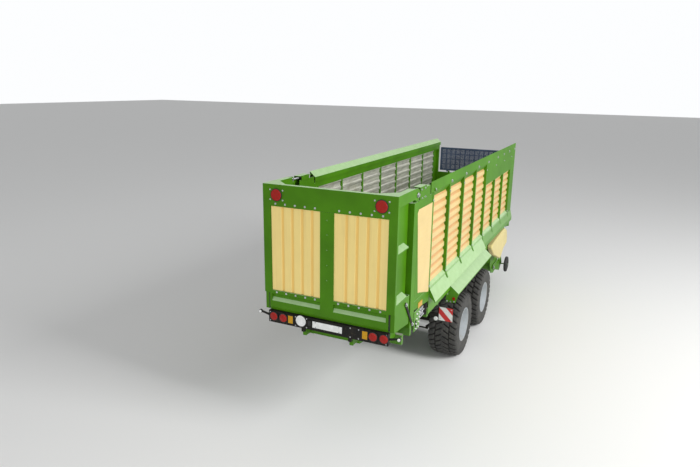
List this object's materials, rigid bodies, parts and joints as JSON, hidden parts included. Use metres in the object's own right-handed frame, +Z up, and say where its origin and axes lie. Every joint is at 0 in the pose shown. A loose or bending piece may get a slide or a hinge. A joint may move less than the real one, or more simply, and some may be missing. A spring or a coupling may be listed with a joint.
{
  "type": "tandem loader wagon",
  "caption": "Tandem-axle forage loader wagon: ribbed high-sided body, scraper floor, tined pick-up, feed rotor, hinged tailgate, steered rear axle and articulated drawbar.",
  "frame": {"origin": "centre of the wagon's box on the ground", "axes": "+X forward in the direction of travel, +Y left, +Z up"},
  "size_m": [11.3078, 2.58, 3.99],
  "materials": {
    "green_paint": "glossy green paint",
    "beige_paint": "satin beige paint",
    "black_paint": "satin black paint",
    "rim_paint": "silver paint",
    "tyre_rubber": "worn tyre rubber",
    "rubber": "matte rubber",
    "bare_steel": "worn bare steel",
    "chrome_rod": "hard chromed rod",
    "white_plastic": "blank white plates and lamps",
    "red_lens": "red lens",
    "amber_lens": "amber lens",
    "board_face": "red and white reflective stripes",
    "mesh_paint": "dark blue-grey paint"
  },
  "bodies": {
    "wagon": {"chassis_frame": "green_paint", "neck_frame": "green_paint", "bogie_brackets": "green_paint", "tailgate_barrel_left": "black_paint", "tailgate_barrel_right": "black_paint", "floor_deck": "green_paint", "scraper_chains": "bare_steel", "scraper_shaft": "green_paint", "side_wall_left": "green_paint", "side_wall_right": "green_paint", "side_panels": "beige_paint", "skirts": "green_paint", "front_wall": "green_paint", "light_bar": "black_paint", "rear_lamps": "red_lens", "amber_lamps": "amber_lens", "plates": "white_plastic", "marker_lamps": "white_plastic", "warning_boards": "board_face", "board_arms": "black_paint", "bogie_springs": "black_paint", "front_axle": "black_paint", "rear_axle": "black_paint", "rotor_housing": "green_paint", "drive_covers": "beige_paint", "gearbox": "black_paint"},
    "tailgate": {"tailgate_frame": "green_paint", "tailgate_panels": "beige_paint", "tailgate_lamps": "red_lens"},
    "headboard": {"headboard": "mesh_paint"},
    "feed_rotor": {"feed_rotor": "green_paint"},
    "pickup": {"pickup_frame": "green_paint"},
    "pickup_reel": {"pickup_reel": "bare_steel"},
    "tie_rod": {"tie_rod": "black_paint"},
    "drawbar": {"drawbar": "green_paint"},
    "jack_leg": {"jack_leg": "bare_steel"},
    "tailgate_rod_left": {"tailgate_rod_left": "chrome_rod"},
    "drawbar_barrel_left": {"drawbar_barrel_left": "black_paint"},
    "drawbar_rod_left": {"drawbar_rod_left": "chrome_rod"},
    "knuckle_left": {"knuckle_left": "black_paint"},
    "gauge_wheel_left": {"gauge_wheel_left": "rubber"},
    "wheel_front_left": {"tyre_front_left": "tyre_rubber", "rim_front_left": "rim_paint"},
    "wheel_rear_left": {"tyre_rear_left": "tyre_rubber", "rim_rear_left": "rim_paint"},
    "tailgate_rod_right": {"tailgate_rod_right": "chrome_rod"},
    "drawbar_barrel_right": {"drawbar_barrel_right": "black_paint"},
    "drawbar_rod_right": {"drawbar_rod_right": "chrome_rod"},
    "knuckle_right": {"knuckle_right": "black_paint"},
    "gauge_wheel_right": {"gauge_wheel_right": "rubber"},
    "wheel_front_right": {"tyre_front_right": "tyre_rubber", "rim_front_right": "rim_paint"},
    "wheel_rear_right": {"tyre_rear_right": "tyre_rubber", "rim_rear_right": "rim_paint"}
  },
  "joints": [
    {"name": "tailgate_hinge", "type": "hinge", "parent": "wagon", "child": "tailgate", "pos_m": [-4.791, 0, 3.88], "axis": [0, 1, 0], "range_deg": [0, 90]},
    {"name": "drawbar_hinge", "type": "hinge", "parent": "wagon", "child": "drawbar", "pos_m": [3.952, 0, 1.06], "axis": [0, -1, 0], "range_deg": [0, 12]},
    {"name": "tailgate_rod_slide_left", "type": "slide", "parent": "wagon", "child": "tailgate_rod_left", "axis": [1, 0, 0], "range_m": [0, 0.136]},
    {"name": "drawbar_barrel_hinge_left", "type": "hinge", "parent": "wagon", "child": "drawbar_barrel_left", "pos_m": [3.512, 0.24, 1.59], "axis": [0, -1, 0], "range_deg": [0, 8]},
    {"name": "drawbar_rod_slide_left", "type": "slide", "parent": "drawbar_barrel_left", "child": "drawbar_rod_left", "axis": [0.8996, 0, -0.4367], "range_m": [-0.08, 0]},
    {"name": "front_wheel_left", "type": "hinge", "parent": "wagon", "child": "wheel_front_left", "pos_m": [-0.03, 0.975, 0.667], "axis": [0, 1, 0], "continuous": true},
    {"name": "rear_wheel_left", "type": "hinge", "parent": "knuckle_left", "child": "wheel_rear_left", "pos_m": [-1.82, 0.975, 0.667], "axis": [0, 1, 0], "continuous": true},
    {"name": "gauge_wheel_left", "type": "hinge", "parent": "pickup", "child": "gauge_wheel_left", "pos_m": [3.085, 1.19, 0.601], "axis": [0, 1, 0], "continuous": true},
    {"name": "tailgate_rod_slide_right", "type": "slide", "parent": "wagon", "child": "tailgate_rod_right", "axis": [1, 0, 0], "range_m": [0, 0.136]},
    {"name": "drawbar_barrel_hinge_right", "type": "hinge", "parent": "wagon", "child": "drawbar_barrel_right", "pos_m": [3.512, -0.24, 1.59], "axis": [0, -1, 0], "range_deg": [0, 8]},
    {"name": "drawbar_rod_slide_right", "type": "slide", "parent": "drawbar_barrel_right", "child": "drawbar_rod_right", "axis": [0.8996, 0, -0.4367], "range_m": [-0.08, 0]},
    {"name": "front_wheel_right", "type": "hinge", "parent": "wagon", "child": "wheel_front_right", "pos_m": [-0.03, -0.975, 0.667], "axis": [0, 1, 0], "continuous": true},
    {"name": "rear_wheel_right", "type": "hinge", "parent": "knuckle_right", "child": "wheel_rear_right", "pos_m": [-1.82, -0.975, 0.667], "axis": [0, 1, 0], "continuous": true},
    {"name": "gauge_wheel_right", "type": "hinge", "parent": "pickup", "child": "gauge_wheel_right", "pos_m": [3.085, -1.19, 0.601], "axis": [0, 1, 0], "continuous": true},
    {"name": "steer_left", "type": "hinge", "parent": "wagon", "child": "knuckle_left", "pos_m": [-1.82, 0.6, 0.667], "axis": [0, 0, 1], "range_deg": [-14, 14]},
    {"name": "steer_right", "type": "hinge", "parent": "wagon", "child": "knuckle_right", "pos_m": [-1.82, -0.6, 0.667], "axis": [0, 0, 1], "range_deg": [-14, 14]},
    {"name": "tie_rod_hinge", "type": "hinge", "parent": "knuckle_right", "child": "tie_rod", "pos_m": [-2.08, -0.54, 0.553], "axis": [0, 0, 1], "range_deg": [-16, 16]},
    {"name": "feed_rotor_spin", "type": "hinge", "parent": "wagon", "child": "feed_rotor", "pos_m": [2.292, 0, 1], "axis": [0, 1, 0], "continuous": true},
    {"name": "pickup_lift", "type": "hinge", "parent": "wagon", "child": "pickup", "pos_m": [2.092, 0, 0.76], "axis": [0, 1, 0], "range_deg": [-3, 23]},
    {"name": "reel_spin", "type": "hinge", "parent": "pickup", "child": "pickup_reel", "pos_m": [2.922, 0, 0.64], "axis": [0, 1, 0], "continuous": true},
    {"name": "headboard_hinge", "type": "hinge", "parent": "wagon", "child": "headboard", "pos_m": [3.407, 0, 3.06], "axis": [0, 1, 0], "range_deg": [0, 80]},
    {"name": "jack_slide", "type": "slide", "parent": "drawbar", "child": "jack_leg", "axis": [0, 0, 1], "range_m": [0, 0.32]}
  ],
  "couplings": [
    {"joint": "tailgate_rod_slide_left", "follows": "tailgate_hinge", "m_per_rad": 0.08553},
    {"joint": "drawbar_barrel_hinge_left", "follows": "drawbar_hinge", "ratio": 0.44931},
    {"joint": "drawbar_rod_slide_left", "follows": "drawbar_hinge", "m_per_rad": -0.31378},
    {"joint": "tailgate_rod_slide_right", "follows": "tailgate_hinge", "m_per_rad": 0.08553},
    {"joint": "drawbar_barrel_hinge_right", "follows": "drawbar_hinge", "ratio": 0.44931},
    {"joint": "drawbar_rod_slide_right", "follows": "drawbar_hinge", "m_per_rad": -0.31378},
    {"joint": "steer_right", "follows": "steer_left", "ratio": 1},
    {"joint": "tie_rod_hinge", "follows": "steer_left", "ratio": -1.1111}
  ]
}
